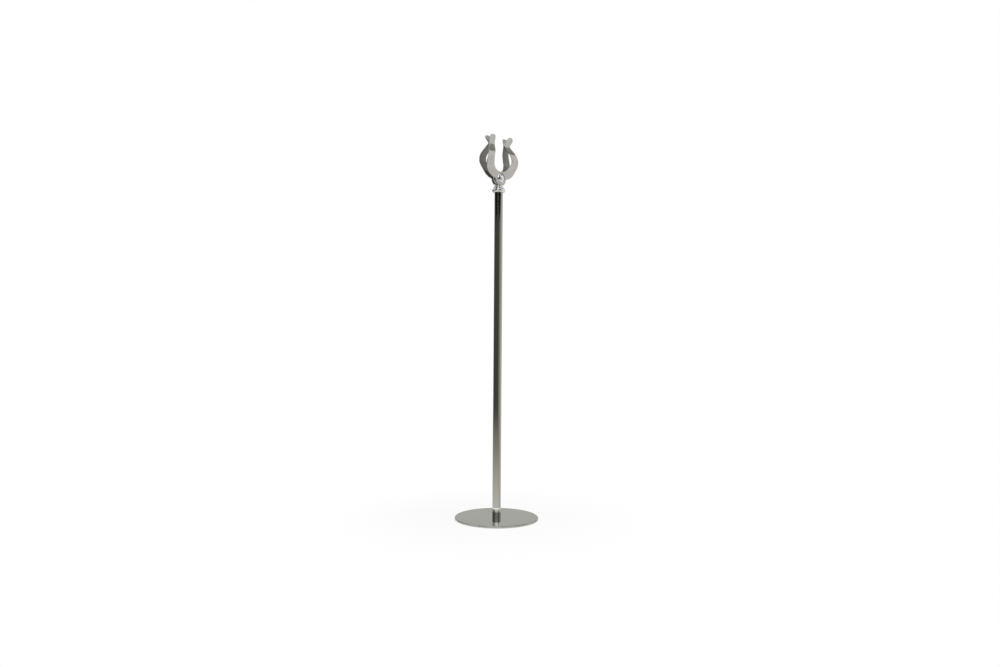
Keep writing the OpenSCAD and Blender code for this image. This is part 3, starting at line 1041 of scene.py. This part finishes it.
def paper(base):
    """Matt paper that is white to the camera, apart from the stand's soft shadow."""
    material, tree = empty_material("matt_paper_sweep")
    matt = add_node(tree, "ShaderNodeBsdfDiffuse", {"Color": (*base, 1)})
    white = add_node(tree, "ShaderNodeEmission", {"Color": WHITE})
    spot = add_node(tree, "ShaderNodeTexCoord").outputs["Object"]
    reach = add_node(tree, "ShaderNodeVectorMath", {0: spot}, operation="LENGTH").outputs["Value"]
    share = add_node(tree, "ShaderNodeMapRange", {
        "Value": reach, "From Min": SHADOW_FULL, "From Max": SHADOW_GONE, "To Min": SHADOW_WHITE,
    }, interpolation_type="SMOOTHSTEP")
    shown = add_node(tree, "ShaderNodeMixShader", {
        "Fac": share.outputs["Result"], 1: matt.outputs["BSDF"], 2: white.outputs["Emission"],
    })
    from_camera, shiny = ray_kinds(tree)
    other = add_node(tree, "ShaderNodeMixShader", {
        "Fac": shiny, 1: matt.outputs["BSDF"], 2: mirrored_paper_painted_light(tree, spot, reach),
    })
    seen = add_node(tree, "ShaderNodeMixShader", {
        "Fac": from_camera, 1: other.outputs["Shader"], 2: shown.outputs["Shader"],
    })
    add_node(tree, "ShaderNodeOutputMaterial", {"Surface": seen.outputs["Shader"]})
    return material


def black_cloth():
    """Black wool on a frame: it only shows as dark marks in the chrome."""
    material, tree = empty_material("black_wool_cloth")
    matt = add_node(tree, "ShaderNodeBsdfDiffuse", {"Color": BLACK})
    add_node(tree, "ShaderNodeOutputMaterial", {"Surface": matt.outputs["BSDF"]})
    return material


def staged_panel(name, corners, material):
    """A flat panel of the studio, which isn't part of the stand."""
    mesh = bpy.data.meshes.new(name)
    mesh.from_pydata([tuple(p) for p in corners], [], [tuple(range(len(corners)))])
    mesh.materials.append(material)
    panel = bpy.data.objects.new(name, mesh)
    bpy.context.scene.collection.objects.link(panel)
    return panel


def hang_flag(name, turn, width, material):
    """A black flag that only the metal sees."""
    middle = toward(turn, 0) * FLAG_GAP
    side = UP.cross(middle).normalized() * width / 2
    flag = staged_panel(name, [
        middle - side + UP * FLAG_LOW, middle + side + UP * FLAG_LOW,
        middle + side + UP * FLAG_TOP, middle - side + UP * FLAG_TOP,
    ], material)
    flag.visible_camera = flag.visible_diffuse = flag.visible_shadow = False


def hang_lamp(name, turn, rise, gap, size, watts):
    """A round soft lamp that faces the stand's foot and isn't mirrored."""
    lamp = bpy.data.lights.new(name, "AREA")
    lamp.shape = "DISK"
    lamp.size = size
    lamp.energy = watts
    source = bpy.data.objects.new(name, lamp)
    source.location = toward(turn, rise) * gap
    source.rotation_mode = "QUATERNION"
    source.rotation_quaternion = source.location.to_track_quat("Z", "Y")
    source.visible_glossy = source.visible_camera = False
    bpy.context.scene.collection.objects.link(source)


def place_camera():
    """The camera of the photograph, level and very slightly rolled."""
    lens = bpy.data.cameras.new("camera")
    lens.sensor_width = 36
    lens.lens = CAMERA_LENS_MM
    lens.shift_x = CAMERA_SHIFT
    lens.clip_start, lens.clip_end = 0.01, 50
    camera = bpy.data.objects.new("camera", lens)
    across = RIGHT * math.cos(CAMERA_LEAN) + UP * math.sin(CAMERA_LEAN)
    over = UP * math.cos(CAMERA_LEAN) - RIGHT * math.sin(CAMERA_LEAN)
    turn = Matrix((across, over, -AWAY)).transposed()
    camera.matrix_world = Matrix.Translation(UP * CAMERA_H - AWAY * CAMERA_GAP) @ turn.to_4x4()
    bpy.context.scene.collection.objects.link(camera)
    bpy.context.scene.camera = camera


class STAND_OT_studio(bpy.types.Operator):
    """The paper floor, the studio round it, the lamps and the camera"""

    bl_idname = "stand.studio"
    bl_label = "Studio"

    def execute(self, context):
        context.scene.view_settings.view_transform = "Standard"
        paint_world()
        turns = np.linspace(0, 2 * math.pi, FLOOR_SIDES, endpoint=False)
        floor = staged_panel(
            "paper_floor", [(FLOOR_R * math.cos(a), FLOOR_R * math.sin(a), 0) for a in turns],
            paper(settings().finishes.floor),
        )
        floor.location.z = -FLOOR_DROP
        cloth = black_cloth()
        for name, turn, width in FLAGS:
            hang_flag(name, turn, width, cloth)
        for lamp in LAMPS:
            hang_lamp(*lamp)
        place_camera()
        return {"FINISHED"}


OPERATORS = (
    STAND_OT_studio, STAND_OT_foot, STAND_OT_pole, STAND_OT_collar, STAND_OT_clip, STAND_OT_ball,
    STAND_OT_fasteners,
)


class STAND_PT_panel(bpy.types.Panel):
    """The pieces of the stand, in the order in which they are built"""

    bl_idname = "STAND_PT_panel"
    bl_label = "Number stand"
    bl_space_type = "VIEW_3D"
    bl_region_type = "UI"
    bl_category = "Number stand"

    def draw(self, context):
        for operator in OPERATORS:
            self.layout.operator(operator.bl_idname)
        for name in ("sizes", "collar", "ball", "clip", "finishes"):
            group = getattr(context.scene.number_stand, name)
            box = self.layout.box()
            for key in group.bl_rna.properties.keys():
                if key not in ("rna_type", "name"):
                    box.prop(group, key)


class NumberStand(bpy.types.PropertyGroup):
    sizes: PointerProperty(name="Stand", description="Foot and pole", type=StandSizes)
    collar: PointerProperty(name="Collar", description="Turned collar", type=CollarSizes)
    ball: PointerProperty(name="Ball", description="Ball and stud", type=BallSizes)
    clip: PointerProperty(name="Clip", description="Spring clip", type=ClipSizes)
    finishes: PointerProperty(name="Finishes", description="Colours of the metals", type=Finishes)


CLASSES = (
    StandSizes, CollarSizes, BallSizes, ClipSizes, Finishes, NumberStand, *OPERATORS, STAND_PT_panel,
)


def register():
    for cls in CLASSES:
        bpy.utils.register_class(cls)
    bpy.types.Scene.number_stand = PointerProperty(type=NumberStand)


def unregister():
    del bpy.types.Scene.number_stand
    for cls in reversed(CLASSES):
        bpy.utils.unregister_class(cls)


def main():
    register()
    bpy.ops.stand.studio()
    bpy.ops.stand.foot()
    bpy.ops.stand.pole()
    bpy.ops.stand.collar()
    bpy.ops.stand.clip()
    bpy.ops.stand.ball()
    bpy.ops.stand.fasteners()


if __name__ == "__main__":
    main()
